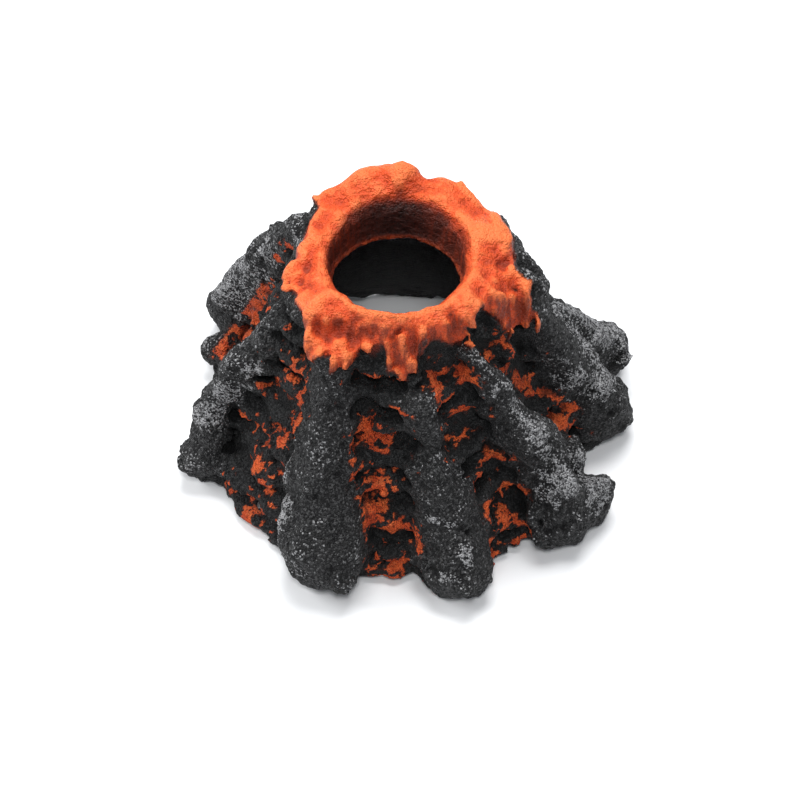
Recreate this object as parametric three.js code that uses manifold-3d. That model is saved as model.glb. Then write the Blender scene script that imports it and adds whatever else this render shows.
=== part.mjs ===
// A volcano ornament for an aquarium: a hollow cast-resin mountain standing over an air diffuser.
// Millimetres, +Z up. The tank floor is z = 0 and the front of the mountain faces -Y.

import * as THREE from 'three';
import { mergeVertices } from 'three/addons/utils/BufferGeometryUtils.js';
import Module from 'manifold-3d';

const wasm = await Module();
wasm.setup();

// ---------------------------------------------------------------- driving dimensions

const CLEARANCE = 0.3; // left between pieces that touch or slide
const OVERSHOOT = 1; // how far a cutter runs past the face that it opens

const CRATER_X = -4; // the crater's axis stands a little off the middle of the base
const CRATER_Y = -1;
const CRATER_RADIUS = 19.4;
const CREST_HEIGHT = 80.5; // inner lip of the crater
const NECK_BOTTOM = 66; // below this the crater opens into the wide hollow
const WALL = 4.5;
const HEM = 2; // the valleys' lower edge hangs this far above the floor

// Valley floor between the ridges, oval about the crater's axis: [half width, half depth, height].
const SLOPE = [
  [60, 57.5, HEM], [55.5, 53, 9], [50, 47, 20], [44.5, 41, 32], [39, 35, 45], [35, 30, 57], [32.5, 27.5, 66],
  [29, 25.5, 74],
];

// The lava rim about the crater's axis: [bearing in degrees, outer reach, height of the outer edge].
const RIM = [
  [-176, 34, 70], [-155, 32, 75], [-133, 30.5, 80], [-112, 26.5, 80], [-88, 25.5, 80], [-62, 26, 80],
  [-48, 28, 80], [-30, 30, 78], [-12, 32, 76], [9, 35, 76], [23, 33.5, 78], [36, 30, 78], [51, 30, 82],
  [71, 30, 84], [88, 29, 87], [104, 30.5, 84], [126, 31.5, 82], [140, 32, 80], [165, 30.5, 75],
];

// Ridges, from the rim down to the foot: [reach from the origin, bearing in degrees, height, thickness].
const RIDGES = {
  frontLeft: [[33.5, -132, 68, 6.5], [37, -128, 56, 7.5], [41.5, -124, 43, 9], [48.5, -120, 27, 11.5],
    [58, -116, 11, 13.5]],
  frontMiddle: [[31, -88, 59, 5], [36, -84, 45, 6], [43, -80, 31, 8.5], [49.5, -77, 19.5, 10.5],
    [57.5, -77, 9.5, 12.5]],
  frontRight: [[30, -51, 64, 4.5], [38, -47, 50, 6], [45.5, -42.5, 36, 7.5], [52.5, -40.5, 22, 8.5],
    [58.5, -43.5, 10, 11]],
  right: [[31.5, -7, 70, 5], [39, -7, 51, 6.5], [48, -3, 30, 8.5], [57.5, -1, 10.5, 11]],
  rightBack: [[32.5, 12, 67, 4.5], [37, 7, 56.5, 5], [44, 9, 40, 6.5], [54.5, 16, 25, 8], [65, 18, 10, 8]],
  back: [[32.5, 45, 66, 5], [40.5, 48, 46, 6.5], [48.5, 52, 28, 8.5], [56, 56, 12, 10]],
  backMiddle: [[31, 84, 66, 5], [40, 86, 46, 7], [50, 88, 26, 9], [57, 88, 10, 10]],
  backLeft: [[33, 118, 66, 5], [42, 118, 48, 7], [53, 120, 28, 9], [62, 120, 12, 10.5]],
  leftBack: [[35.5, 154, 74, 4.5], [42, 152, 64, 5], [50, 150, 50, 5.2], [58.5, 149, 36, 5.6],
    [66, 148, 21, 5.8], [71, 146.5, 8, 5.5]],
  left: [[35.5, -172, 66, 3.5], [42, -167, 57, 4], [49.5, -171, 42, 5], [56.5, -173, 29, 6], [60, -170, 20, 6.5],
    [63.5, -164, 9, 8.5]],
};
const ROOT_DEPTH = 2.8; // a ridge runs this many thicknesses down into the slope

// Knobs that make the feet lumpy: [reach, bearing in degrees, height, radius].
const KNOBS = [
  [61, -33, 8, 9], // beside the front right foot
  [54, -28, 18, 5.5],
  [64.5, -2, 9, 5], // point of the right foot
  [61.5, 158, 9, 7.5], // between the two left feet
  [59, 52, 9, 8],
  [61, 92, 8, 8],
  [66, 125, 9, 8],
];

const NOTCH_BEARING = 37; // arch that lets the airline out at the back
const NOTCH_RADIUS = 5.5;
const NOTCH_CENTRE_HEIGHT = 2;

const DIFFUSER_TURN = 20; // bearing of the inlet socket as seen from the crater's axis
const CUP_RADIUS = 6;
const CUP_NECK_RADIUS = 1.7;
const CUP_HEAD_RADIUS = 2.7;
const CUP_TOP = 4.4;
const CUP_CIRCLE = 20.2;
const EAR_RADIUS = 4.6;
const BASE_BOTTOM = CUP_TOP + CLEARANCE;
const BASE_FLOOR = 2;
const BASE_RADIUS = 17;
const BASE_TOP = 16;
const PLENUM_RADIUS = 13.3;
const PLENUM_TOP = 10.2;
const STONE_SEAT_RADIUS = 15.4;
const GASKET_THICKNESS = 1;
const STONE_BOTTOM = PLENUM_TOP + GASKET_THICKNESS + 2 * CLEARANCE;
const STONE_TOP = 18.6;
const RING_OPENING = 13.2;
const RING_OUTER = 19.3;
const RING_BOTTOM = 11;
const RING_TOP = 18.4;
const PEG_BEARINGS = [90, 210, 330];
const PEG_RADIUS = 1.2;
const PEG_REACH = 18.6;
const PEG_HEIGHT = 13.2;
const RING_TWIST = 28; // turn that frees the bayonet ring
const RING_RIBS = 15;
const SOCKET_REACH = 26.2; // inlet socket's axis from the diffuser's axis
const SOCKET_BORE = 4;
const SOCKET_RADIUS = 5.6;
const SOCKET_TOP = 14.4;
const AIRWAY_RADIUS = 1.3;
const AIRWAY_HEIGHT = 8.5;
const ELBOW_TURN = 27; // rest bearing of the barb, counted from the socket's own bearing
const STEM_BOTTOM = 10.2;
const SEAL_HEIGHT = 12.5;
const SEAL_SECTION = 0.6;
const SEAL_CIRCLE = 3.1;
const BARB_HEIGHT = 19.3;
const BARB_LENGTH = 15;

// ---------------------------------------------------------------- solids

/** Closed geometry to a solid that can be joined and cut. */
function solid(geometry) {
  const bare = geometry.clone();
  bare.deleteAttribute('normal');
  bare.deleteAttribute('uv');
  const merged = mergeVertices(bare, 1e-4);
  return new wasm.Manifold(new wasm.Mesh({
    numProp: 3,
    vertProperties: merged.attributes.position.array,
    triVerts: Uint32Array.from(merged.index.array),
  }));
}

/** Solid back to a geometry for a mesh. */
function geometryOf(body) {
  const { vertProperties, triVerts } = body.getMesh();
  const geometry = new THREE.BufferGeometry();
  geometry.setAttribute('position', new THREE.BufferAttribute(vertProperties, 3));
  geometry.setIndex(new THREE.BufferAttribute(triVerts, 1));
  geometry.computeVertexNormals();
  return geometry;
}

const join = (bodies) => bodies.reduce((sum, body) => sum.add(body));
const cut = (body, tools) => tools.reduce((rest, tool) => rest.subtract(tool), body);

/** Turned solid about +Z. The profile lists [radius, height] anticlockwise round the section. */
function turned(profile, segments) {
  const points = profile.map(([radius, height]) => new THREE.Vector2(radius, height));
  return new THREE.LatheGeometry(points, segments).rotateX(Math.PI / 2);
}

/** Upright round bar between two heights. */
function bar(radius, bottom, top, segments = 24) {
  return turned([[0, bottom], [radius, bottom], [radius, top], [0, top]], segments);
}

/** Round bar along +X between two reaches, with its axis at a height. */
function sidewaysBar(radius, from, to, height, segments = 16) {
  return bar(radius, from, to, segments).rotateY(Math.PI / 2).translate(0, 0, height);
}

/** Washer or ring between two radii and two heights. */
function ring(inner, outer, bottom, top, segments = 48) {
  return turned([[inner, bottom], [outer, bottom], [outer, top], [inner, top], [inner, bottom]], segments);
}

/** Part of a ring, from one bearing to another. */
function ringSector(inner, outer, bottom, top, fromBearing, toBearing) {
  const from = THREE.MathUtils.degToRad(fromBearing);
  const to = THREE.MathUtils.degToRad(toBearing);
  const shape = new THREE.Shape();
  shape.absarc(0, 0, outer, from, to, false);
  shape.absarc(0, 0, inner, to, from, true);
  shape.closePath();
  const options = { depth: top - bottom, bevelEnabled: false, curveSegments: 8 };
  return new THREE.ExtrudeGeometry(shape, options).translate(0, 0, bottom);
}

/** Point at a reach, bearing and height. */
function station(reach, bearing, height) {
  const angle = THREE.MathUtils.degToRad(bearing);
  return new THREE.Vector3(reach * Math.cos(angle), reach * Math.sin(angle), height);
}

/** Geometry turned about +Z by a bearing in degrees. */
const turnedBy = (geometry, bearing) => geometry.rotateZ(THREE.MathUtils.degToRad(bearing));

// ---------------------------------------------------------------- volcano shell

/** Oval solid about the crater's axis. The profile lists [half width, half depth, height] anticlockwise. */
function oval(profile, segments) {
  const geometry = turned(profile.map(([width, , height]) => [width, height]), segments);
  const position = geometry.attributes.position;
  for (let i = 0; i < position.count; i += 1) {
    const [width, depth] = profile[i % profile.length];
    position.setY(i, width === 0 ? 0 : (position.getY(i) * depth) / width);
  }
  return geometry.translate(CRATER_X, CRATER_Y, 0);
}

/** Value of one column of RIM at a bearing, eased between the two stations beside it. */
function rimAt(bearing, column) {
  const after = RIM.findIndex(([stationBearing]) => stationBearing > bearing);
  const next = after < 0 ? RIM[0] : RIM[after];
  const last = after <= 0 ? RIM[RIM.length - 1] : RIM[after - 1];
  const span = THREE.MathUtils.euclideanModulo(next[0] - last[0], 360);
  const along = THREE.MathUtils.euclideanModulo(bearing - last[0], 360) / span;
  return THREE.MathUtils.lerp(last[column], next[column], THREE.MathUtils.smoothstep(along, 0, 1));
}

/** The rim: a turned ring whose outer edge is moved to RIM's reach and height at each bearing. */
function lavaRim() {
  const NOMINAL_REACH = 30; // of the ring before its edge is moved
  const INNER_CREST = 22.5;
  const LIP = 1;
  const SKIRT_RADIUS = 26;
  const SKIRT_HEIGHT = 64;
  // Each row holds the radius and height for an outer reach r and an outer edge height h.
  const rows = [
    () => [CRATER_RADIUS, SKIRT_HEIGHT - LIP],
    () => [SKIRT_RADIUS - LIP, SKIRT_HEIGHT - LIP],
    (r, h) => [Math.max(r - 3, SKIRT_RADIUS + 0.5), h - 10],
    (r, h) => [r + 0.5, h - 4],
    (r, h) => [r, h - 1],
    (r, h) => [r - 2, h],
    (r, h) => [INNER_CREST, THREE.MathUtils.lerp(CREST_HEIGHT, h, 0.3)],
    () => [CRATER_RADIUS + LIP, CREST_HEIGHT - 1.2],
    () => [CRATER_RADIUS, CREST_HEIGHT - 4],
  ];
  const profile = [...rows, rows[0]].map((row) => row(NOMINAL_REACH, CREST_HEIGHT));
  const geometry = turned(profile, 40);
  const position = geometry.attributes.position;
  for (let i = 0; i < position.count; i += 1) {
    const angle = Math.atan2(position.getY(i), position.getX(i));
    const bearing = THREE.MathUtils.radToDeg(angle);
    const row = rows[i % profile.length % rows.length];
    const [radius, height] = row(rimAt(bearing, 1), rimAt(bearing, 2));
    position.setXYZ(i, radius * Math.cos(angle), radius * Math.sin(angle), height);
  }
  return geometry.translate(CRATER_X, CRATER_Y, 0);
}

/** A root of rock: a capsule bent along a curve through its stations and swollen to their thickness. */
function ridge(stations) {
  const SIDES = 9;
  const CAP_STEPS = 3;
  const STEPS_PER_STATION = 2;
  const last = stations.length - 1;
  const path = new THREE.CatmullRomCurve3(stations.map(([reach, bearing, height]) => (
    station(reach, bearing, height)
  )));
  const geometry = new THREE.CapsuleGeometry(1, 1, CAP_STEPS, SIDES, last * STEPS_PER_STATION);
  const position = geometry.attributes.position;
  const up = new THREE.Vector3(0, 0, 1);
  for (let i = 0; i < position.count; i += 1) {
    const along = THREE.MathUtils.clamp(position.getY(i) + 0.5, 0, 1);
    const beyond = position.getY(i) + 0.5 - along;
    const before = Math.min(Math.floor(along * last), last - 1);
    const thickness = THREE.MathUtils.lerp(stations[before][3], stations[before + 1][3], along * last - before);
    const tangent = path.getTangent(along);
    const side = tangent.clone().cross(up).normalize();
    const lift = side.clone().cross(tangent);
    const depth = position.getZ(i) < 0 ? ROOT_DEPTH : 1;
    const point = path.getPoint(along)
      .addScaledVector(side, position.getX(i) * thickness)
      .addScaledVector(lift, position.getZ(i) * thickness * depth)
      .addScaledVector(tangent, beyond * thickness);
    position.setXYZ(i, point.x, point.y, point.z);
  }
  return geometry;
}

function knob([reach, bearing, height, radius]) {
  return new THREE.IcosahedronGeometry(radius, 2).translate(...station(reach, bearing, height).toArray());
}

/** The wide hollow under the crater, a wall's thickness inside the slope. */
function hollow() {
  const inner = SLOPE.filter(([, , height]) => height < NECK_BOTTOM)
    .map(([width, depth, height]) => [width - WALL, depth - WALL, height]);
  const mouth = inner[0];
  const profile = [
    [0, 0, -OVERSHOOT], [mouth[0], mouth[1], -OVERSHOOT], ...inner, [CRATER_RADIUS, CRATER_RADIUS, NECK_BOTTOM],
    [0, 0, NECK_BOTTOM],
  ];
  return oval(profile, 32);
}

function craterBore() {
  const aboveRim = CREST_HEIGHT + 15;
  return bar(CRATER_RADIUS, NECK_BOTTOM - 3, aboveRim, 40).translate(CRATER_X, CRATER_Y, 0);
}

function airlineNotch() {
  const [insideWall, outsideWall] = [35, 75];
  const cutter = sidewaysBar(NOTCH_RADIUS, insideWall, outsideWall, NOTCH_CENTRE_HEIGHT, 20);
  return turnedBy(cutter, NOTCH_BEARING);
}

function volcanoShell() {
  const slope = oval([[0, 0, HEM], ...SLOPE, [0, 0, SLOPE[SLOPE.length - 1][2]]], 32);
  const rock = join([
    solid(slope),
    solid(lavaRim()),
    ...Object.values(RIDGES).map((stations) => solid(ridge(stations))),
    ...KNOBS.map((entry) => solid(knob(entry))),
  ]);
  const SPAN = 200; // wider than the whole mountain
  const belowFloor = new THREE.BoxGeometry(SPAN, SPAN, SPAN).translate(0, 0, -SPAN / 2);
  return geometryOf(cut(rock, [hollow(), craterBore(), airlineNotch(), belowFloor].map(solid)));
}

// ---------------------------------------------------------------- air diffuser
// These pieces are drawn about the diffuser's own axis, with the inlet socket along +X.

function suctionCup() {
  const SKIRT_EDGE = 0.9;
  const HOLLOW_HEIGHT = 2;
  const neckTop = BASE_BOTTOM + BASE_FLOOR + CLEARANCE;
  const profile = [
    [0, HOLLOW_HEIGHT], [2.6, HOLLOW_HEIGHT - 0.2], [CUP_RADIUS - SKIRT_EDGE, 0], [CUP_RADIUS, 0],
    [CUP_RADIUS - 0.4, 0.9], [3.6, 3], [2.6, CUP_TOP], [CUP_NECK_RADIUS, CUP_TOP], [CUP_NECK_RADIUS, neckTop],
    [CUP_HEAD_RADIUS, neckTop], [CUP_HEAD_RADIUS, neckTop + 0.8], [1.6, neckTop + 1.6], [0, neckTop + 1.6],
  ];
  return turned(profile, 18);
}

function diffuserBase() {
  const floorTop = BASE_BOTTOM + BASE_FLOOR;
  const webTop = RING_BOTTOM - 0.4;
  const cup = solid(bar(BASE_RADIUS, BASE_BOTTOM, BASE_TOP, 48));
  const ears = [60, 180, 300].map((bearing) => {
    const centre = station(CUP_CIRCLE, bearing, 0);
    return solid(bar(EAR_RADIUS, BASE_BOTTOM, floorTop, 20).translate(centre.x, centre.y, 0));
  });
  const holes = [60, 180, 300].map((bearing) => {
    const centre = station(CUP_CIRCLE, bearing, 0);
    const hole = bar(CUP_NECK_RADIUS + CLEARANCE, 0, BASE_TOP, 16);
    return solid(hole.translate(centre.x, centre.y, 0));
  });
  const pegs = PEG_BEARINGS.map((bearing) => (
    solid(turnedBy(sidewaysBar(PEG_RADIUS, BASE_RADIUS - OVERSHOOT, PEG_REACH, PEG_HEIGHT), bearing))
  ));
  const web = solid(new THREE.BoxGeometry(8, 7, webTop - BASE_BOTTOM)
    .translate(SOCKET_REACH - 7, 0, (webTop + BASE_BOTTOM) / 2));
  const socket = solid(bar(SOCKET_RADIUS, BASE_BOTTOM, SOCKET_TOP, 28).translate(SOCKET_REACH, 0, 0));
  const hollows = [
    bar(PLENUM_RADIUS, floorTop, BASE_TOP + OVERSHOOT, 48),
    bar(STONE_SEAT_RADIUS, PLENUM_TOP, BASE_TOP + OVERSHOOT, 48),
    bar(SOCKET_BORE, floorTop, SOCKET_TOP + OVERSHOOT, 28).translate(SOCKET_REACH, 0, 0),
    sidewaysBar(AIRWAY_RADIUS, PLENUM_RADIUS - OVERSHOOT, SOCKET_REACH, AIRWAY_HEIGHT),
  ];
  return geometryOf(cut(join([cup, ...ears, ...pegs, web, socket]), [...hollows.map(solid), ...holes]));
}

function stoneGasket() {
  return ring(PLENUM_RADIUS + CLEARANCE, STONE_SEAT_RADIUS - CLEARANCE, PLENUM_TOP + CLEARANCE,
    PLENUM_TOP + CLEARANCE + GASKET_THICKNESS);
}

function diffuserStone() {
  const rim = STONE_SEAT_RADIUS - 0.4;
  const shoulder = BASE_TOP - 0.2;
  const crown = RING_OPENING - CLEARANCE;
  return turned([
    [0, STONE_BOTTOM], [rim, STONE_BOTTOM], [rim, shoulder], [crown, shoulder], [crown, STONE_TOP - 0.6],
    [crown - 0.6, STONE_TOP], [0, STONE_TOP],
  ], 48);
}

function retainingRing() {
  const lipBottom = BASE_TOP + 0.4;
  const skirtInner = BASE_RADIUS + CLEARANCE;
  const slotInner = skirtInner - OVERSHOOT;
  const slotOuter = RING_OUTER + 2;
  const slotHalf = PEG_RADIUS + CLEARANCE;
  const endPlay = 1; // degrees of slot left beyond the peg
  const halfPeg = THREE.MathUtils.radToDeg(slotHalf / RING_OUTER) + endPlay;
  const profile = [
    [skirtInner, RING_BOTTOM], [RING_OUTER - 0.4, RING_BOTTOM], [RING_OUTER, RING_BOTTOM + 0.4],
    [RING_OUTER, RING_TOP - 1], [RING_OUTER - 1, RING_TOP], [RING_OPENING + 0.8, RING_TOP],
    [RING_OPENING, RING_TOP - 0.8], [RING_OPENING, lipBottom], [skirtInner, lipBottom], [skirtInner, RING_BOTTOM],
  ];
  const ribs = Array.from({ length: RING_RIBS }, (_, i) => {
    const centre = station(RING_OUTER - 0.2, (i * 360) / RING_RIBS, 0);
    return solid(bar(0.9, RING_BOTTOM + 0.6, RING_TOP - 1.6, 8).translate(centre.x, centre.y, 0));
  });
  const slots = PEG_BEARINGS.flatMap((bearing) => {
    const openEnd = bearing - RING_TWIST;
    return [
      ringSector(slotInner, slotOuter, PEG_HEIGHT - slotHalf, PEG_HEIGHT + slotHalf, openEnd - halfPeg,
        bearing + halfPeg),
      ringSector(slotInner, slotOuter, RING_BOTTOM - OVERSHOOT, PEG_HEIGHT, openEnd - halfPeg, openEnd + halfPeg),
    ];
  });
  return geometryOf(cut(join([solid(turned(profile, 48)), ...ribs]), slots.map(solid)));
}

/** Elbow about its own swivel axis, with the barb along +X. */
function inletElbow() {
  const stem = SOCKET_BORE - 0.4;
  const groove = SEAL_CIRCLE - SEAL_SECTION - CLEARANCE;
  const grooveHalf = SEAL_SECTION + CLEARANCE;
  const flange = SOCKET_TOP + 0.4;
  const bodyRadius = 3.6;
  const upright = turned([
    [0, STEM_BOTTOM], [stem, STEM_BOTTOM], [stem, SEAL_HEIGHT - grooveHalf], [groove, SEAL_HEIGHT - grooveHalf],
    [groove, SEAL_HEIGHT + grooveHalf], [stem, SEAL_HEIGHT + grooveHalf], [stem, flange], [5, flange],
    [5, flange + 1.4], [bodyRadius, flange + 2.2], [bodyRadius, BARB_HEIGHT + 1.6], [2.4, BARB_HEIGHT + 3.2],
    [0, BARB_HEIGHT + 3.4],
  ], 28);
  // The barb drawn upright, then laid along +X.
  const tube = 2.1;
  const crest = 2.7;
  const barb = turned([
    [0, 0], [3.2, 0], [3.2, 4.4], [tube, 5], [tube, 6.6], [crest, 6.8], [tube, 9.2], [crest, 9.4], [tube, 11.8],
    [crest, 12], [1.9, BARB_LENGTH], [0, BARB_LENGTH],
  ], 20).rotateY(Math.PI / 2).translate(0, 0, BARB_HEIGHT);
  const airways = [
    bar(AIRWAY_RADIUS, STEM_BOTTOM - OVERSHOOT, BARB_HEIGHT, 16),
    sidewaysBar(AIRWAY_RADIUS, -AIRWAY_RADIUS, BARB_LENGTH + OVERSHOOT, BARB_HEIGHT),
  ];
  return geometryOf(cut(join([solid(upright), solid(barb)]), airways.map(solid)));
}

function inletSeal() {
  return new THREE.TorusGeometry(SEAL_CIRCLE, SEAL_SECTION, 8, 24);
}

// ---------------------------------------------------------------- assembly

const RESIN = new THREE.MeshStandardMaterial({ color: 0x303134, roughness: 0.85, metalness: 0 });
const BLACK_ABS = new THREE.MeshStandardMaterial({ color: 0x1c1e20, roughness: 0.5, metalness: 0 });
const RING_ABS = new THREE.MeshStandardMaterial({ color: 0x3a3e42, roughness: 0.5, metalness: 0 });
const MINERAL = new THREE.MeshStandardMaterial({ color: 0x8d99a3, roughness: 0.95, metalness: 0 });
const RUBBER = new THREE.MeshStandardMaterial({ color: 0x25272a, roughness: 0.7, metalness: 0 });
const CLEAR_RUBBER = new THREE.MeshStandardMaterial({ color: 0xb9c4c6, roughness: 0.35, metalness: 0 });

/** Mesh with a name, a geometry and its own copy of a material. */
function piece(name, geometry, material) {
  const mesh = new THREE.Mesh(geometry, material.clone());
  mesh.name = name;
  return mesh;
}

function diffuser() {
  const group = new THREE.Group();
  group.position.set(CRATER_X, CRATER_Y, 0);
  group.rotation.z = THREE.MathUtils.degToRad(DIFFUSER_TURN);
  group.add(
    piece('diffuser_base', diffuserBase(), BLACK_ABS),
    piece('stone_gasket', stoneGasket(), RUBBER),
    piece('diffuser_stone', diffuserStone(), MINERAL),
    piece('retaining_ring', retainingRing(), RING_ABS),
  );
  const cups = { suction_cup_back: 60, suction_cup_left: 180, suction_cup_front: 300 };
  for (const [name, bearing] of Object.entries(cups)) {
    const cup = piece(name, suctionCup(), CLEAR_RUBBER);
    cup.position.copy(station(CUP_CIRCLE, bearing, 0));
    group.add(cup);
  }
  const swivel = new THREE.Group();
  swivel.position.set(SOCKET_REACH, 0, 0);
  swivel.rotation.z = THREE.MathUtils.degToRad(ELBOW_TURN);
  const seal = piece('inlet_seal', inletSeal(), RUBBER);
  seal.position.z = SEAL_HEIGHT;
  swivel.add(piece('inlet_elbow', inletElbow(), RING_ABS), seal);
  group.add(swivel);
  return group;
}

const ornament = new THREE.Group();
ornament.add(piece('volcano_shell', volcanoShell(), RESIN), diffuser());

export default ornament;
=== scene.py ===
"""The looks of the volcano ornament: a sculpted and painted resin casting over its air diffuser."""

import itertools
import math

import bmesh
import bpy
import numpy as np
import openvdb
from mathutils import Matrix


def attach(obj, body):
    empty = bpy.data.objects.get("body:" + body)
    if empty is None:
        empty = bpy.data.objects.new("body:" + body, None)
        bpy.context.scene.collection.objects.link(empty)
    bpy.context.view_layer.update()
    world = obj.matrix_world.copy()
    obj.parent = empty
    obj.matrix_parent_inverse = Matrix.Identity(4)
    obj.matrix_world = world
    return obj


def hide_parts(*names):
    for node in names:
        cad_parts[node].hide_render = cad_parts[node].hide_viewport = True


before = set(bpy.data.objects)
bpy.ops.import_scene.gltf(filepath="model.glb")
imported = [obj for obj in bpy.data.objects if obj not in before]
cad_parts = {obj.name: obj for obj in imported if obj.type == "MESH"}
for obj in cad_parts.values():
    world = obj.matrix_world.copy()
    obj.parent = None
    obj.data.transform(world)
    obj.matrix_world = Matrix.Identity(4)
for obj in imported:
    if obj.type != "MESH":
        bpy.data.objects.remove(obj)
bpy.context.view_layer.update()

MM = 0.001  # the sculpting works in millimetres, and Blender in metres

# ------------------------------------------------------------------ camera, light and floor

CAMERA_ELEVATION = 52  # degrees above the floor
CAMERA_DISTANCE = 0.7  # metres, like the target below
CAMERA_TARGET = (-0.003, 0.010, 0)
CAMERA_LENS = 100.8

LIGHT_AIM_HEIGHT = 0.03  # metres above the floor
WORLD_COLOUR = (0.93, 0.95, 1, 1)
WORLD_STRENGTH = 0.36

FLOOR_HALF = 3
FLOOR_COLOUR = (0.86, 0.87, 0.88, 1)
FLOOR_ROUGHNESS = 0.55


def make_camera():
    data = bpy.data.cameras.new("camera")
    data.lens = CAMERA_LENS
    camera = bpy.data.objects.new("camera", data)
    bpy.context.scene.collection.objects.link(camera)
    elevation = math.radians(CAMERA_ELEVATION)
    x, y, z = CAMERA_TARGET
    away = CAMERA_DISTANCE * math.cos(elevation)
    camera.location = (x, y - away, z + CAMERA_DISTANCE * math.sin(elevation))
    camera.rotation_euler = (math.radians(90) - elevation, 0, 0)
    bpy.context.scene.camera = camera


def soft_light(name, bearing, elevation, distance, size, power):
    """A square soft box that looks at the middle of the object from a bearing and a height."""
    data = bpy.data.lights.new(name, "AREA")
    data.size = size
    data.energy = power
    light = bpy.data.objects.new(name, data)
    bpy.context.scene.collection.objects.link(light)
    across = math.radians(bearing)
    up = math.radians(elevation)
    light.location = (
        distance * math.cos(up) * math.cos(across),
        distance * math.cos(up) * math.sin(across),
        distance * math.sin(up) + LIGHT_AIM_HEIGHT,
    )
    light.rotation_euler = (math.radians(90) - up, 0, across + math.radians(90))


def make_world():
    world = bpy.data.worlds.new("studio")
    world.use_nodes = True
    background = world.node_tree.nodes["Background"]
    background.inputs["Color"].default_value = WORLD_COLOUR
    background.inputs["Strength"].default_value = WORLD_STRENGTH
    bpy.context.scene.world = world
    bpy.context.scene.view_settings.view_transform = "Standard"


def make_floor():
    half = FLOOR_HALF
    corners = [(-half, -half, 0), (half, -half, 0), (half, half, 0), (-half, half, 0)]
    mesh = bpy.data.meshes.new("floor")
    mesh.from_pydata(corners, [], [(0, 1, 2, 3)])
    floor = bpy.data.objects.new("floor", mesh)
    bpy.context.scene.collection.objects.link(floor)
    material = bpy.data.materials.new("pale_floor")
    material.use_nodes = True
    shader = material.node_tree.nodes["Principled BSDF"]
    shader.inputs["Base Color"].default_value = FLOOR_COLOUR
    shader.inputs["Roughness"].default_value = FLOOR_ROUGHNESS
    mesh.materials.append(material)


make_camera()
make_world()
make_floor()
soft_light("overhead", bearing=82, elevation=70, distance=0.9, size=0.5, power=8.4)
soft_light("left_fill", bearing=172, elevation=38, distance=0.9, size=0.4, power=4.4)
soft_light("front_fill", bearing=-90, elevation=61, distance=1.05, size=0.2, power=4)

# ------------------------------------------------------------------ shape of the casting

VOXEL = 0.75
BAND_VOXELS = 9
FIRST_BLUR = 1.2  # voxels of blur that melt the facets and creases together
LAST_BLUR = 0.6  # voxels of blur that round off the sculpting
BEND = 2.6  # how far the rock is pulled about, so that no ridge stays an even tube
BEND_SIZE = 12
LEFT_RIDGE = (-48, -6)  # the middle of the ridge that swings forward
LEFT_RIDGE_SWING = 3.2  # how far it does
SCULPTED_BAND = 4.5  # how deep on either side of the surface the sculpting reaches
MOST_GROWTH = 9
EDGE_GROWTH = 0.6  # the most that the thin lower edge of a valley may grow
EDGE_CUT = 0.2  # the most that it may be cut back

CRATER = (-4, -1)  # the crater's axis, which is the diffuser's too
CRATER_RADIUS = 19.4
NECK_BOTTOM = 66

# Valley floor about the crater's axis: height, half width and half depth.
SLOPE_HEIGHT = (2, 9, 20, 32, 45, 57, 66, 74)
SLOPE_WIDTH = (60, 55.5, 50, 44.5, 39, 35, 32.5, 29)
SLOPE_DEPTH = (57.5, 53, 47, 41, 35, 30, 27.5, 25.5)

# Height of one crust in a valley over the next, and of the lowest one's top.
LEDGE_PITCH = 9
LEDGE_TOP = 5

# Lower edge of the lava about the crater's axis: bearing and height, drip by drip.
LAVA_HEM = (
    (-180, 72), (-173, 72), (-166, 74), (-158, 74.5), (-148, 76), (-143, 77), (-140, 73), (-136, 72),
    (-133.5, 70), (-132.5, 66.8), (-129, 66.4), (-127.8, 69), (-126, 71), (-121.6, 70.6), (-120, 67.4),
    (-112.8, 67), (-111, 70.2), (-107, 70.6), (-105, 70.2), (-102.5, 72.4), (-97.5, 73), (-96.2, 71.8),
    (-95.4, 65.6), (-89, 65), (-88.6, 63), (-87.8, 62.4), (-85, 62.4), (-84, 64), (-83, 64.8),
    (-78.6, 64.2), (-77.4, 68), (-76.5, 73), (-73, 74.3), (-68, 74), (-63, 72), (-58, 68), (-50, 67.5),
    (-45.5, 68.5), (-43.5, 72), (-41.5, 78), (-36, 78), (-32, 73.5), (-27, 70), (-25, 66), (-23.5, 60),
    (-21, 57.5), (-15, 58), (-12.5, 63), (-11.5, 69), (-6, 73.5), (0, 74.5), (8, 76), (23, 76), (37, 76),
    (46, 76), (55, 75), (62, 69), (68, 65), (74, 70), (82, 74), (90, 69), (95, 63), (100, 67), (108, 73),
    (118, 75), (125, 69), (130, 66), (136, 73), (142, 78), (150, 77.5), (157, 78), (161, 77),
    (165, 75.5), (171, 74.5), (177, 73),
)

# Shoulders too flat for a height, where the lava ends at a reach instead: bearing, half spread, reach.
LAVA_SHOULDERS = ((25, 32, 33.6), (157, 20, 28.5))
LAVA_LIP_REACH = 27  # the lava covers the whole lip of the crater out to here

# Hollows under the lava, also painted near black as painted shade: bearing, height, half width, half height,
# depth.
RECESSES = (
    (-66, 66, 5, 6, 2.6), (-37, 66, 5.5, 9, 3), (-8, 72, 2.4, 1.8, 2.2), (-157, 71, 2.5, 2, 1.6),
    (-152, 66, 2, 3, 1.6), (28, 66, 4, 5, 2.2), (52, 66, 4, 6, 2.4),
)

# Swellings of the rim and of one ridge's foot, in the same order.
SWELLINGS = (
    (24, 79, 9, 7, 2.6), (-5, 72, 4, 6, 1.2), (60, 80, 6, 4, 1.2), (108, 82, 6, 4, 1.2),
    (-103, 12, 4, 15, 2.8),
)

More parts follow.
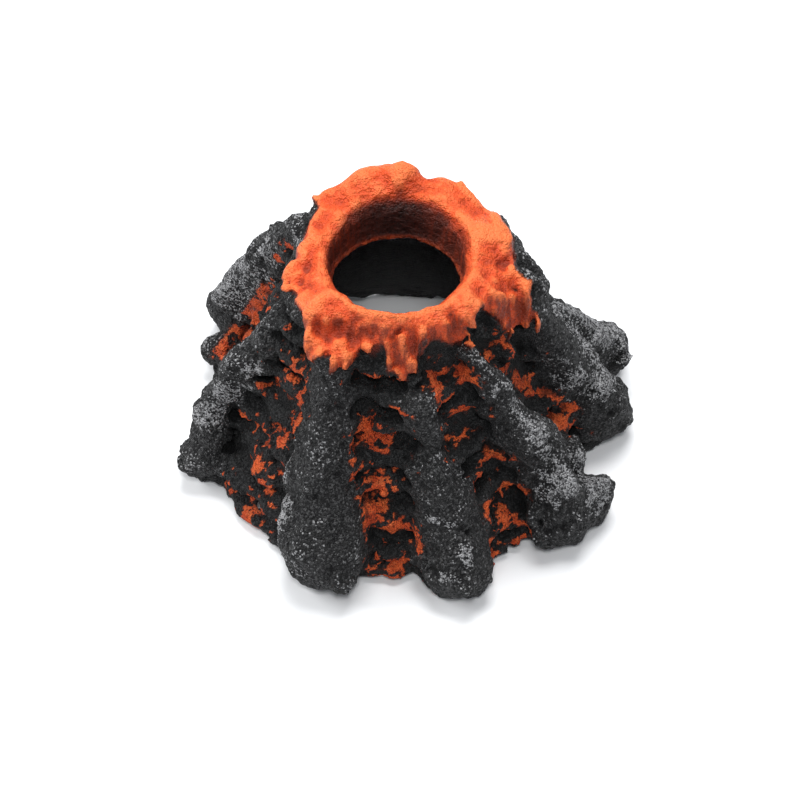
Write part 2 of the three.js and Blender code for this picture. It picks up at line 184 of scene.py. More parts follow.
# Hollows beside the ridges that make them narrower, in the same order.
FLANKS = (
    (-35, 57, 3.4, 8, 3.2), (-31, 47, 4, 6, 3), (-16, 50, 4, 10, 2.8), (-14, 39, 4, 6, 2.6),
    (21, 52, 4, 9, 2.6), (-56, 60, 3, 6, 2), (-104, 52, 2.4, 9, 1.8), (-150, 40, 4, 4, 2.6),
)

LAVA_FRONT = -92  # the bearing about which the rim slopes down to its drips
LAVA_CALM = 112  # the bearing about which its runs are shallow
KNOB = (86, 27)  # bearing and reach of the lump at the back of the rim


def smooth(value, low, high):
    """0 up to low, 1 from high on, and eased between; low may be the larger."""
    t = np.clip((value - low) / (high - low), 0, 1)
    return t * t * (3 - 2 * t)


def eased(bearing, stations):
    """Value at a bearing, eased between stations of bearing and value round the circle."""
    bearings, values = (np.array(column, float) for column in zip(*stations))
    bearings = np.append(bearings, bearings[0] + 360)
    values = np.append(values, values[0])
    turn = (bearing - bearings[0]) % 360 + bearings[0]
    before = np.clip(np.searchsorted(bearings, turn, side="right") - 1, 0, len(bearings) - 2)
    share = smooth(turn, bearings[before], bearings[before + 1])
    return values[before] * (1 - share) + values[before + 1] * share


NOISE_TILE = 48
NOISE_GAIN = 1.7  # brings the noise to about -1 to 1


def noise(points, size, seed):
    """Smooth gradient noise, mostly from -1 to 1. A size of (6, 6, 2) makes its lumps wide and low."""
    random = np.random.default_rng(seed)
    slopes = random.normal(size=(NOISE_TILE**3, 3)).astype(np.float32)
    slopes /= np.linalg.norm(slopes, axis=1, keepdims=True)
    scaled = (points / np.float32(size)).astype(np.float32)
    cell = np.floor(scaled).astype(np.int32)
    part = scaled - cell
    fade = part * part * part * (part * (part * 6 - 15) + 10)
    total = np.zeros(len(points), np.float32)
    for corner in itertools.product((0, 1), repeat=3):
        x, y, z = ((cell + np.int32(corner)) % NOISE_TILE).T
        slope = slopes[(x * NOISE_TILE + y) * NOISE_TILE + z]
        weight = np.where(corner, fade, 1 - fade).prod(axis=1)
        total += weight * ((part - np.float32(corner)) * slope).sum(axis=1)
    return total * NOISE_GAIN


class Place:
    """Where sculpting points lie: bearing and reach about the crater's axis, and how far above the slope."""

    def __init__(self, points):
        self.points = points
        self.height = points[:, 2]
        x, y = points[:, 0] - CRATER[0], points[:, 1] - CRATER[1]
        self.reach = np.hypot(x, y)
        self.bearing = np.degrees(np.arctan2(y, x))
        width = np.interp(self.height, SLOPE_HEIGHT, SLOPE_WIDTH)
        depth = np.interp(self.height, SLOPE_HEIGHT, SLOPE_DEPTH)
        share = np.hypot(x / width, y / depth)
        self.proud = (share - 1) * self.reach / np.maximum(share, 0.1)

    def outside(self):
        """1 on the outer face and on the lava down into the crater, and 0 on the wall of the hollow."""
        hollow = smooth(self.proud, -2.9, -1.7)
        above_neck = smooth(self.height, NECK_BOTTOM - 1, NECK_BOTTOM + 1)
        return np.maximum(hollow, above_neck)

    def bore(self):
        """1 on the crater's own wall."""
        return smooth(self.reach, CRATER_RADIUS + 3, CRATER_RADIUS + 1) * smooth(self.height, 60, 64)

    def valley(self):
        """1 in the valleys, and 0 on the ridges and from the lava's lower edge up."""
        return smooth(self.proud, 5.5, 2) * smooth(self.height, 70, 64)

    def turn_from(self, bearing):
        """Degrees round from a bearing, from -180 to 180."""
        return (self.bearing - bearing + 180) % 360 - 180

    def around(self, bearing, height, half_width, half_height, tilt=0):
        """Distance from a spot on the slope, 1 at the edge of an oval of those half sizes."""
        across = np.radians(self.turn_from(bearing)) * self.reach
        up = self.height - height
        lean = math.radians(tilt)
        along = across * math.cos(lean) + up * math.sin(lean)
        over = up * math.cos(lean) - across * math.sin(lean)
        return np.hypot(along / half_width, over / half_height)

    def lava(self):
        """How far above the lava's lower edge, in millimetres, with a little waver."""
        edge = eased(self.bearing + 0.5 * noise(self.points, 5, 11), LAVA_HEM)
        raggedness = 0.15 + 0.45 * smooth(self.height, 76, 69)
        on_flank = self.height - edge + raggedness * noise(self.points, 2.4, 12)
        waver = 1.2 * noise(self.points, 7, 13)
        for bearing, spread, reach in LAVA_SHOULDERS:
            share = smooth(np.abs(self.turn_from(bearing)), spread + 6, spread - 6)
            on_shoulder = np.minimum(reach + waver - self.reach, self.height - 70)
            on_flank = on_flank * (1 - share) + on_shoulder * share
        on_lip = np.minimum(LAVA_LIP_REACH - self.reach, self.height - NECK_BOTTOM - 0.5)
        return np.maximum(on_flank, on_lip)


def spot_depth(place, spots):
    """How deep the spots, which end in a depth of their own, press in or swell out at each point."""
    depth = np.zeros(len(place.points), np.float32)
    for *spot, deep in spots:
        depth = np.maximum(depth, deep * smooth(place.around(*spot), 1.25, 0.5))
    return depth * (1 - place.bore())


def rock_growth(place):
    """Lumps, cracks and pits of the bare rock, broader towards the feet."""
    points = place.points
    feet = smooth(place.height, 40, 8)
    lumps = (0.5 + 1.1 * feet) * noise(points, 8.5, 1)
    lumps += 0.6 * noise(points, 3.6, 2)
    lumps += 0.55 * noise(points, 2, 3)
    cracks = 0.6 * smooth(np.abs(noise(points, 6.5, 41)), 0.10, 0.0)
    pits = 1.0 * smooth(noise(points, 2.3, 4), 0.2, 0.7)
    return lumps - pits - cracks


def ledge_growth(place):
    """Stacked crusts of rock across the valleys, each with a flat top and a dark gap over it."""
    points = place.points
    waver = 3 * noise(points, 10, 5)
    rise = (place.height - LEDGE_TOP + waver + 1.3 * noise(points, 3.4, 6)) / LEDGE_PITCH % 1
    crust = smooth(rise, 0.1, 0.62) * smooth(rise, 1, 0.88) * (0.85 + 0.6 * noise(points, 6, 44))
    rubble = 1.1 * noise(points, 4.2, 45) + 1.2 * noise(points, 2.1, 7)
    return 3.1 * crust - 1.8 + rubble


def patch_growth(place):
    """Crusts that stand out from the rock under the orange paint of the valleys."""
    above_floor = smooth(place.height, 2, 7)
    return 0.9 * patch_paint(place) * (0.7 + 0.7 * noise(place.points, 2.2, 49)) * above_floor


def lava_growth(place):
    """Doughy folds on the rim, and thick runs down its outer flank."""
    points = place.points
    wall = place.bore()
    dough = 1.5 * noise(points, 10, 8) + 0.6 * noise(points, 4, 9) + 0.35 * noise(points, 2, 46)
    dough -= 0.5 * smooth(np.abs(noise(points, 7, 42)), 0.13, 0.0)
    flank = smooth(place.reach, 23.5, 26) * smooth(place.height, 81, 76)
    calmer = 1 - 0.7 * smooth(np.abs(place.bearing - LAVA_CALM), 46, 24)
    runs = 2.9 * noise(points, (2.9, 2.9, 30), 10) + 0.8 * noise(points, (1.7, 1.7, 12), 47)
    runs = runs * flank * calmer
    streaks = 0.6 * noise(points, (2.6, 2.6, 12), 43) * wall
    lip = 1.1 * wall * smooth(place.height, NECK_BOTTOM + 2.6, NECK_BOTTOM + 1.4)
    at_front = smooth(np.abs(place.bearing - LAVA_FRONT), 52, 38)
    bevel = 1.8 * at_front * smooth(place.reach, 22.5, 25) * smooth(place.height, 70, 77)
    bearing, reach = KNOB
    from_knob = np.hypot(0.8 * (place.bearing - bearing), 1.6 * (place.reach - reach))
    knob = 1.5 * smooth(from_knob, 12, 3) * smooth(place.height, 76, 80)
    return (dough + 0.8) * (1 - 0.85 * wall) + runs + streaks + lip + knob - bevel


def grown(place, mask, growth):
    """The growth where the mask holds, and 0 elsewhere."""
    result = np.zeros(len(place.points), np.float32)
    result[mask] = growth(Place(place.points[mask]))
    return result


def outward_growth(place):
    """How far the sculpting moves the casting's surface outwards, in millimetres."""
    above_hem = place.lava()
    lava = smooth(above_hem, -0.6, 0.8)
    valley = place.valley()
    rock = grown(place, lava < 1, rock_growth) * (1 - 0.6 * valley)
    rock += grown(place, (lava < 1) & (valley > 0), ledge_growth) * valley
    rock += grown(place, (lava < 1) & (valley > 0.02), patch_growth) * valley
    bead = 1.1 * smooth(above_hem, 0, 1) * smooth(above_hem, 5, 2) * (1 - place.bore())
    growth = rock * (1 - lava) + (grown(place, lava > 0, lava_growth) + bead) * lava
    growth += spot_depth(place, SWELLINGS) - spot_depth(place, RECESSES + FLANKS)
    thin_edge = smooth(place.height, 9, 5) * valley
    least = -MOST_GROWTH * (1 - thin_edge) - EDGE_CUT
    most = MOST_GROWTH - (MOST_GROWTH - EDGE_GROWTH) * thin_edge
    growth = np.clip(growth, least, most)
    outside = place.outside()
    ripple = 1.4 * noise(place.points, 6, 48) * smooth(place.height, 22, 6)
    return growth * outside + ripple * (1 - outside)


def bent(block, low):
    """The block with its outer rock pulled about, so that the ridges wander and swell."""
    near = np.argwhere(np.abs(block) < BAND_VOXELS * VOXEL * 0.9)
    place = Place(((near + low) * VOXEL).astype(np.float32))
    pull = BEND * np.stack([noise(place.points, BEND_SIZE, seed) for seed in (31, 32, 33)], axis=1)
    x, y = LEFT_RIDGE
    from_ridge = np.hypot(place.points[:, 0] - x, place.points[:, 1] - y)
    pull[:, 1] += LEFT_RIDGE_SWING * smooth(from_ridge, 24, 10) * smooth(place.height, 12, 30)
    held = place.outside() * smooth(place.height, 0, 8)
    share = np.where(place.height > NECK_BOTTOM, 0.5, 1) * held * (1 - place.bore())
    result = block.copy()
    result[tuple(near.T)] = sampled(block, low, place.points + pull * share[:, None])
    return result


def blurred(field, sigma):
    """Gaussian blur of a block of voxels along its three axes."""
    reach = int(math.ceil(2.5 * sigma))
    offsets = range(-reach, reach + 1)
    weights = np.exp([-0.5 * (o / sigma) ** 2 for o in offsets])
    weights /= weights.sum()
    for axis in range(3):
        pads = [(reach, reach) if a == axis else (0, 0) for a in range(3)]
        padded = np.pad(field, pads, mode="edge")
        length = field.shape[axis]
        slices = (np.take(padded, range(o + reach, o + reach + length), axis=axis) for o in offsets)
        field = sum(np.float32(w) * s for w, s in zip(weights, slices))
    return field


def cad_field(node):
    """The CAD node as a block of signed distances in millimetres, and the block's lowest voxel."""
    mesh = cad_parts[node].data
    mesh.calc_loop_triangles()
    points = np.empty(len(mesh.vertices) * 3, np.float32)
    mesh.vertices.foreach_get("co", points)
    points = points.reshape(-1, 3) / MM
    corners = np.empty(len(mesh.loop_triangles) * 3, np.int32)
    mesh.loop_triangles.foreach_get("vertices", corners)
    grid = openvdb.FloatGrid.createLevelSetFromPolygons(
        points,
        triangles=corners.reshape(-1, 3).astype(np.uint32),
        transform=openvdb.createLinearTransform(voxelSize=VOXEL),
        halfWidth=BAND_VOXELS,
    )
    low = np.floor(points.min(axis=0) / VOXEL).astype(int) - BAND_VOXELS
    high = np.ceil(points.max(axis=0) / VOXEL).astype(int) + BAND_VOXELS
    block = np.empty(high - low, np.float32)
    grid.copyToArray(block, ijk=tuple(int(i) for i in low))
    return block, low


def sampled(field, low, points):
    """The block's value at points, in millimetres, by trilinear mixing."""
    scaled = points / VOXEL - low
    cell = np.clip(np.floor(scaled).astype(int), 0, np.array(field.shape) - 2)
    part = scaled - cell
    total = np.zeros(len(points))
    for corner in itertools.product((0, 1), repeat=3):
        weight = np.where(corner, part, 1 - part).prod(axis=1)
        total += weight * field[tuple((cell + corner).T)]
    return total


def surface_of(field, low):
    """The block's zero surface: points in millimetres, and quads."""
    grid = openvdb.FloatGrid(BAND_VOXELS * VOXEL)
    grid.copyFromArray(np.ascontiguousarray(field), ijk=tuple(int(i) for i in low))
    grid.transform = openvdb.createLinearTransform(voxelSize=VOXEL)
    grid.gridClass = openvdb.GridClass.LEVEL_SET
    return grid.convertToQuads()


def biggest_body(points, quads):
    """The surface without the crumbs that the sculpting breaks off."""
    label = np.arange(len(points))
    ends = np.concatenate([quads[:, (0, 1)], quads[:, (1, 2)], quads[:, (2, 3)]])
    while True:
        lower = label.copy()
        least = np.minimum(label[ends[:, 0]], label[ends[:, 1]])
        np.minimum.at(lower, ends[:, 0], least)
        np.minimum.at(lower, ends[:, 1], least)
        lower = lower[lower]
        if (lower == label).all():
            break
        label = lower
    names, counts = np.unique(label, return_counts=True)
    kept = label == names[counts.argmax()]
    renumbered = np.cumsum(kept) - 1
    return points[kept], renumbered[quads[kept[quads[:, 0]]]]


def thinned(piece, share, group=""):
    """Collapses the least needed edges down to a share of the triangles, in the group if one is named."""
    modifier = piece.modifiers.new("thin", "DECIMATE")
    modifier.ratio = share
    modifier.vertex_group = group
    modifier.vertex_group_factor = 8
    graph = bpy.context.evaluated_depsgraph_get()
    full = piece.data
    piece.data = bpy.data.meshes.new_from_object(piece.evaluated_get(graph), depsgraph=graph)
    piece.modifiers.clear()
    bpy.data.meshes.remove(full)


def new_piece(name, points, faces):
    mesh = bpy.data.meshes.new(name)
    mesh.from_pydata((np.asarray(points) * MM).tolist(), [], np.asarray(faces).tolist())
    mesh.validate()
    piece = bpy.data.objects.new(name, mesh)
    bpy.context.scene.collection.objects.link(piece)
    return piece


def shade_smooth(piece):
    polygons = piece.data.polygons
    polygons.foreach_set("use_smooth", np.ones(len(polygons), bool))


def vertex_points(piece):
    """The piece's vertices in millimetres."""
    points = np.empty(len(piece.data.vertices) * 3, np.float32)
    piece.data.vertices.foreach_get("co", points)
    return points.reshape(-1, 3) / MM


def push_out(piece, points, depth):
    """Moves the piece's vertices from points along their normals by a depth, all in millimetres."""
    normals = np.empty(len(points) * 3, np.float32)
    piece.data.vertices.foreach_get("normal", normals)
    moved = points + normals.reshape(-1, 3) * depth[:, None]
    piece.data.vertices.foreach_set("co", (moved * MM).astype(np.float32).ravel())


SHELL_TRIANGLES = 196_000
HOLLOW_SHARE = 0.78  # of the triangles kept when only the hollow's wall is thinned
GRAIN_DEPTH = 0.36
GRAIN_SIZE = 1.3


def roughen(shell):
    """Moves each vertex in or out by a grain that the sculpting's voxels can't hold."""
    points = vertex_points(shell)
    place = Place(points)
    depth = GRAIN_DEPTH * place.outside() * smooth(place.height, 0, 1)
    depth *= noise(points, GRAIN_SIZE, 51) * (1 - 0.6 * smooth(place.lava(), 0, 1))
    push_out(shell, points, depth)


def sculpted_shell():
    block, low = cad_field("volcano_shell")
    block = bent(blurred(block, FIRST_BLUR), low)
    near = np.argwhere(np.abs(block) < SCULPTED_BAND)
    place = Place(((near + low) * VOXEL).astype(np.float32))
    block[tuple(near.T)] -= outward_growth(place)
    floor = -(np.arange(block.shape[2]) + low[2]) * np.float32(VOXEL)
    block = np.maximum(blurred(block, LAST_BLUR), floor)
    points, quads = biggest_body(*surface_of(block, low))
    triangles = np.concatenate([quads[:, (0, 1, 2)], quads[:, (0, 2, 3)]])
    shell = new_piece("volcano_casting", points, triangles)
    shade_smooth(shell)
    place = Place(points)
    wall = (place.outside() < 0.02) & (place.height < NECK_BOTTOM - 6)
    hollow = shell.vertex_groups.new(name="hollow")
    hollow.add(np.flatnonzero(wall).tolist(), 1, "REPLACE")
    thinned(shell, HOLLOW_SHARE, "hollow")
    thinned(shell, min(1, SHELL_TRIANGLES / len(shell.data.polygons)))
    roughen(shell)
    paint_shell(shell, block, low)
    return shell


# ------------------------------------------------------------------ paint layers of the casting

# Orange paint on the crusts in the valleys: bearing, height, half width, half height, tilt.
PATCHES = (
    (-103, 62, 4.4, 1, 0), (-89, 54, 2.3, 1.3, 0), (-101, 43, 5.6, 4.2, 0), (-105, 36, 1.3, 1.2, 0),
    (-97, 29, 4.2, 3, 0), (-99, 22, 4, 3.6, 20), (-90, 17, 5.4, 2.6, 5), (-83, 16, 1, 3, 0),
    (-90, 6, 6.5, 1.3, 8), (-96, 8, 1.1, 1.1, 0), (-92, 2.5, 6, 1, 0), (-70, 58, 1.4, 3.2, 0),
    (-65, 59, 4, 1.2, 0), (-64, 54, 3.6, 1, 0), (-54, 57, 1.4, 4.4, -30), (-58, 47, 4.2, 1.2, 8),
    (-62, 39, 4.4, 1, 0), (-51, 31, 4.4, 1.6, 18), (-61, 28, 4, 1.1, 26), (-49, 20, 4.4, 1.6, -8),
    (-60, 20, 2.6, 1.5, 10), (-54, 12, 2.3, 3.2, -30), (-60, 10, 1.6, 1.1, 0), (-50, 10, 1.4, 2.4, 0),
    (-62, 4, 3.4, 2, 10), (-51, 4, 3, 0.9, 0), (-35, 58, 1.8, 1, 0), (-37, 56, 0.8, 2.2, 0),
    (-33, 56, 0.8, 2, 0), (-26, 60, 0.9, 3.4, 0), (-25, 50, 0.9, 4.5, 0), (-31, 49, 2, 2.4, 0),
    (-22, 42, 2.2, 3, 0), (-19, 37, 3.6, 3.2, 0), (-14, 31, 1.4, 2, 0), (-11, 24, 1.4, 2, 0),
    (-16, 21, 2.2, 4, 0), (-17, 13, 2.6, 2.6, 0), (-20, 5, 3, 3, 0), (168, 51, 2, 4.6, 0),
    (155, 61, 1.8, 1.6, 0), (157, 69, 1.8, 1.2, 0), (152, 40, 1.7, 4.4, 0), (152, 33, 2.2, 3, 0),
    (153, 27, 3, 3, 0), (157, 22, 2.4, 3.2, 0), (151, 15, 3.4, 2.4, 0), (148, 9, 3, 2, 0),
    (160, 14, 4, 3, 0), (-145, 53, 2.6, 3.4, 0), (-155, 42, 2.9, 1.2, 5), (-136, 46, 2, 3.6, 0),
    (-135, 40, 1.5, 2, 0), (-148, 29, 2.2, 1.2, 0), (-139, 31, 1.8, 1.6, 0), (-160, 27, 2.6, 1, 0),
    (-144, 20, 2.2, 3.6, 0), (-139, 16, 2.2, 3.8, 25), (-135, 24, 1.6, 2.4, 20), (-129, 29, 1.1, 2.4, 0),
    (-128, 41, 1.1, 2.4, 0), (-151, 6, 1, 3.2, 0), (-143, 8, 1.5, 2.4, 0), (-141, 4, 1.8, 2, 0),
    (-136, 9, 1.2, 2, 0), (-137, 2.5, 4.4, 1.5, -20),
)

# Silvering put on the rock with a brush, and a painted highlight where light falls on it: bearing, height,
# half width, half height.
SILVER_AND_HIGHLIGHT = (
    (8, 37, 9, 11), (13, 22, 10, 9), (6, 49, 4, 4), (-20, 57, 1.8, 4), (-16, 49, 2.4, 4), (-13, 42, 3, 4),
    (-10, 35, 5, 4), (-5, 28, 6, 4), (-47, 57, 1.3, 3), (-42, 49, 2.2, 4), (-40, 42, 2.6, 4),
    (-40, 35, 3.2, 5), (-40, 27, 5, 4), (-28, 19, 4, 4), (-32, 14, 6, 5), (-44, 21, 3, 2.5),
    (-76, 26, 5, 1.3), (-72, 19, 1.8, 3), (-77, 14, 3, 1.4), (-137, 47, 1.2, 4), (-134, 37, 2.2, 6),
    (-131, 30, 2.8, 7), (-126, 20, 4, 7), (-117, 13, 5, 3.5), (152, 28, 8, 8), (152, 43, 6, 9),
    (153, 60, 3, 6), (160, 74, 2, 3), (-163, 36, 4, 6), (-160, 46, 2.4, 4), (-166, 25, 4, 5),
    (-172, 14, 2.4, 6), (-152, 56, 1.4, 5), (2, 30, 5, 8), (16, 30, 6, 8), (34, 24, 7, 8), (55, 30, 6, 8),
    (80, 22, 7, 6), (100, 33, 5, 8), (128, 26, 7, 7),
)

# Where the rock gets less silvering, partly as painted shade on the ridges that face the front, in the same
# order.
DULL_AND_SHADE = ((-81, 50, 5, 9), (-107, 28, 4.5, 15), (-118, 12, 3, 6))

RUBBLE_BEARING = -145  # the middle of the valley with the most orange spatter

# Orange on the crusts at the back, scattered: how many dabs, and the bearings they lie between.
BACK_DABS = 46
BACK_BEARINGS = (-2, 150)


def back_patches():
    random = np.random.default_rng(77)
    for _ in range(BACK_DABS):
        bearing = random.uniform(*BACK_BEARINGS)
        height = random.uniform(3, 60)
        yield bearing, height, random.uniform(1.5, 4.5), random.uniform(1, 2.8), random.uniform(-20, 20)


def from_nearest(place, spots):
    """Distance from the nearest spot, 1 at the edge of its oval and 9 at most."""
    nearest = np.full(len(place.points), 9, np.float32)
    for spot in spots:
        nearest = np.minimum(nearest, place.around(*spot))
    return nearest


def patch_paint(place):
    """1 where orange lies on the valleys' crusts, and 0 on bare rock."""
    nearest = from_nearest(place, itertools.chain(PATCHES, back_patches()))
    ragged = 0.6 * noise(place.points, (3.6, 3.6, 1.5), 21) + 0.5 * noise(place.points, 1.5, 22)
    rubble = smooth(np.abs(place.bearing - RUBBLE_BEARING), 22, 12) * smooth(place.proud, 6, 3)
    spatter = smooth(noise(place.points, 2.2, 24) - 0.14 * nearest + 0.16 * rubble, 0.08, 0.3)
    return np.maximum(smooth(nearest + ragged, 1.25, 0.7), 0.85 * spatter)


def silver_and_highlight_paint(place):
    """Up to 1 where silvering is put on with a brush or a highlight is painted, and below 0 where the rock
    is duller than elsewhere, partly as painted shade.
    """
    dull_and_shade = np.max([smooth(place.around(*spot), 1.4, 0.6) for spot in DULL_AND_SHADE], axis=0)
    ragged = 0.4 * noise(place.points, 4, 23)
    return smooth(from_nearest(place, SILVER_AND_HIGHLIGHT) + ragged, 1.4, 0.6) - 0.4 * dull_and_shade


def neck_shade_paint(place):
    """1 on the crater's wall under its lip, where shade is painted: it reaches higher at the back, and shows
    less at either side.
    """
    at_back = smooth(np.abs(place.bearing - 90), 70, 30)
    under_lip = smooth(place.height - 3 * at_back, 79.5, 76.5) * smooth(place.height, 67, 68.4)
    return place.bore() * under_lip * (1 - 0.5 * np.cos(np.radians(place.bearing)) ** 2)


def paint_shell(shell, block, low):
    """Writes how each paint, and the painted shade and highlight, lies on the casting, vertex by vertex, for
    its material to mix.
    """
    points = vertex_points(shell)
    place = Place(points)
    inner_wall = place.bore() * smooth(place.height, NECK_BOTTOM - 0.4, NECK_BOTTOM + 0.4)
    layers = {
        "outside": np.maximum(place.outside(), inner_wall),
        # Above 0 on what stands proud and below 0 in hollows, first for small shapes and then for large.
        "crest": sampled(blurred(block, 2.2), low, points),
        "broad": sampled(blurred(block, 5), low, points),
        "lava": smooth(place.lava(), -0.3, 0.5),
        "patch": patch_paint(place) * smooth(place.proud, 9, 6),
        # Silvering, partly a painted highlight where light falls, and below 0 partly painted shade.
        "silver_and_highlight": silver_and_highlight_paint(place),
        "valley": place.valley(),
        # Painted shade: the hollows under the lava painted near black.
        "recess_shade": smooth(spot_depth(place, RECESSES), 0.3, 1.4),
        # Painted shade on the crater's wall under its lip.
        "neck_shade": neck_shade_paint(place),
    }
    for name, values in layers.items():
        layer = shell.data.attributes.new(name, "FLOAT", "POINT")
        layer.data.foreach_set("value", np.asarray(values, np.float32))


# ------------------------------------------------------------------ materials


class Nodes:
    """Short calls for building a material's node tree."""

    def __init__(self, name):
        self.material = bpy.data.materials.new(name)
        self.material.use_nodes = True
        self.tree = self.material.node_tree
        self.shader = self.tree.nodes["Principled BSDF"]
        self.place = self.tree.nodes.new("ShaderNodeTexCoord").outputs["Object"]

    def feed(self, socket, value):
        if isinstance(value, bpy.types.NodeSocket):
            self.tree.links.new(value, socket)
        else:
            socket.default_value = value

    def layer(self, name):
        """A layer that was painted on the piece's vertices."""
        node = self.tree.nodes.new("ShaderNodeAttribute")
        node.attribute_name = name
        return node.outputs["Fac"]

    def noise(self, size, detail=2, rough=0.5, stretch=None):
        """Noise from 0 to 1 with lumps of that many millimetres."""
        node = self.tree.nodes.new("ShaderNodeTexNoise")
        node.inputs["Scale"].default_value = 1 / (size * MM)
        node.inputs["Detail"].default_value = detail
        node.inputs["Roughness"].default_value = rough
        source = self.place
        if stretch is not None:
            mapping = self.tree.nodes.new("ShaderNodeMapping")
            mapping.inputs["Scale"].default_value = stretch
            self.feed(mapping.inputs["Vector"], source)
            source = mapping.outputs["Vector"]
        self.feed(node.inputs["Vector"], source)
        return node.outputs["Fac"]

    def cells(self, size):
        """Grains of about that many millimetres: distance from a grain's middle, and its shade, 0 to 1."""
        node = self.tree.nodes.new("ShaderNodeTexVoronoi")
        node.inputs["Scale"].default_value = 1 / (size * MM)
        self.feed(node.inputs["Vector"], self.place)
        split = self.tree.nodes.new("ShaderNodeSeparateColor")
        self.feed(split.inputs[0], node.outputs["Color"])
        return node.outputs["Distance"], split.outputs[0]

    def math(self, operation, a, b):
        node = self.tree.nodes.new("ShaderNodeMath")
        node.operation = operation
        self.feed(node.inputs[0], a)
        self.feed(node.inputs[1], b)
        return node.outputs[0]

    def times(self, a, b):
        return self.math("MULTIPLY", a, b)

    def total(self, *terms):
        """The sum of values, each times its weight."""
        first, *others = (value if weight == 1 else self.times(value, weight) for value, weight in terms)
        for other in others:
            first = self.math("ADD", first, other)
        return first

    def ramp(self, value, low, high, from_value=0.0, to_value=1.0):
        """from_value below low, to_value above high, and eased between."""
        node = self.tree.nodes.new("ShaderNodeMapRange")
        node.interpolation_type = "SMOOTHSTEP"
        self.feed(node.inputs["Value"], value)
        node.inputs["From Min"].default_value = low
        node.inputs["From Max"].default_value = high
        node.inputs["To Min"].default_value = from_value
        node.inputs["To Max"].default_value = to_value
        return node.outputs["Result"]

    def mix(self, share, under, over):
        """Colour over laid on colour under by a share."""
        node = self.tree.nodes.new("ShaderNodeMix")
        node.data_type = "RGBA"
        self.feed(node.inputs["Factor"], share)
        # The node has several inputs of each name; 6 and 7 are its colours, and 2 the mixed colour.
        for socket, colour in ((6, under), (7, over)):
            linked = isinstance(colour, bpy.types.NodeSocket)
            self.feed(node.inputs[socket], colour if linked else (*colour, 1))
        return node.outputs[2]

    def facing_up(self):
        """1 where the surface faces straight up, 0 where it is upright and below 0 where it overhangs."""
        geometry = self.tree.nodes.new("ShaderNodeNewGeometry")
        split = self.tree.nodes.new("ShaderNodeSeparateXYZ")
        self.feed(split.inputs[0], geometry.outputs["Normal"])
        return split.outputs["Z"]

    def bump(self, height, depth):
        """Raises the surface by a depth in millimetres for each unit of height."""
        node = self.tree.nodes.new("ShaderNodeBump")
        node.inputs["Strength"].default_value = 1
        node.inputs["Distance"].default_value = depth * MM
        self.feed(node.inputs["Height"], height)
        self.feed(self.shader.inputs["Normal"], node.outputs["Normal"])

    def surface(self, colour, roughness):
        self.feed(self.shader.inputs["Base Color"], colour)
        self.feed(self.shader.inputs["Roughness"], roughness)


# Colours of the casting's paint, with the painted shade and painted highlights among them. A pair is the
# darker and the lighter of two that are mixed.
ROCK = ((0.008, 0.0084, 0.0087), (0.017, 0.0173, 0.0175))
ROCK_GRAIN = (0.088, 0.088, 0.089)
# painted shade in the rock's hollows
ROCK_CREVICE_SHADE = (0.0035, 0.0037, 0.004)
# painted shade down in the valleys
ROCK_VALLEY_SHADE = (0.005, 0.0062, 0.0066)
# silvering, which also serves as a painted highlight
SILVERED_AND_HIGHLIT = ((0.16, 0.16, 0.164), (0.62, 0.62, 0.635))
ORANGE = ((0.68, 0.078, 0.018), (0.95, 0.155, 0.036))
# painted highlight on the orange dabs
ORANGE_HIGHLIGHT = (0.92, 0.235, 0.080)
ORANGE_WORN = (0.25, 0.028, 0.010)
ORANGE_STAIN = (0.085, 0.018, 0.009)
# the lava's red, and painted shade in its hollows
LAVA_AND_HOLLOW_SHADE = ((0.26, 0.032, 0.011), (0.68, 0.078, 0.015))
# painted shade in the folds that the bump sinks
LAVA_FOLD_SHADE = (0.50, 0.045, 0.010)
# painted highlight on the lava
LAVA_HIGHLIGHT = (0.86, 0.190, 0.055)
# painted shade: dark streaks down the steep flank
LAVA_RUN_SHADE = (0.15, 0.025, 0.010)
# painted shade on the steep flank
LAVA_STEEP_SHADE = (0.34, 0.036, 0.012)
LAVA_PIT = (0.12, 0.02, 0.012)
# painted shade on the crater's wall
NECK_SHADE = ((0.024, 0.007, 0.005), (0.062, 0.015, 0.010))
# painted shade in the hollows under the lava
RECESS_SHADE = (0.006, 0.006, 0.006)
INSIDE = ((0.007, 0.007, 0.007), (0.016, 0.0165, 0.017))


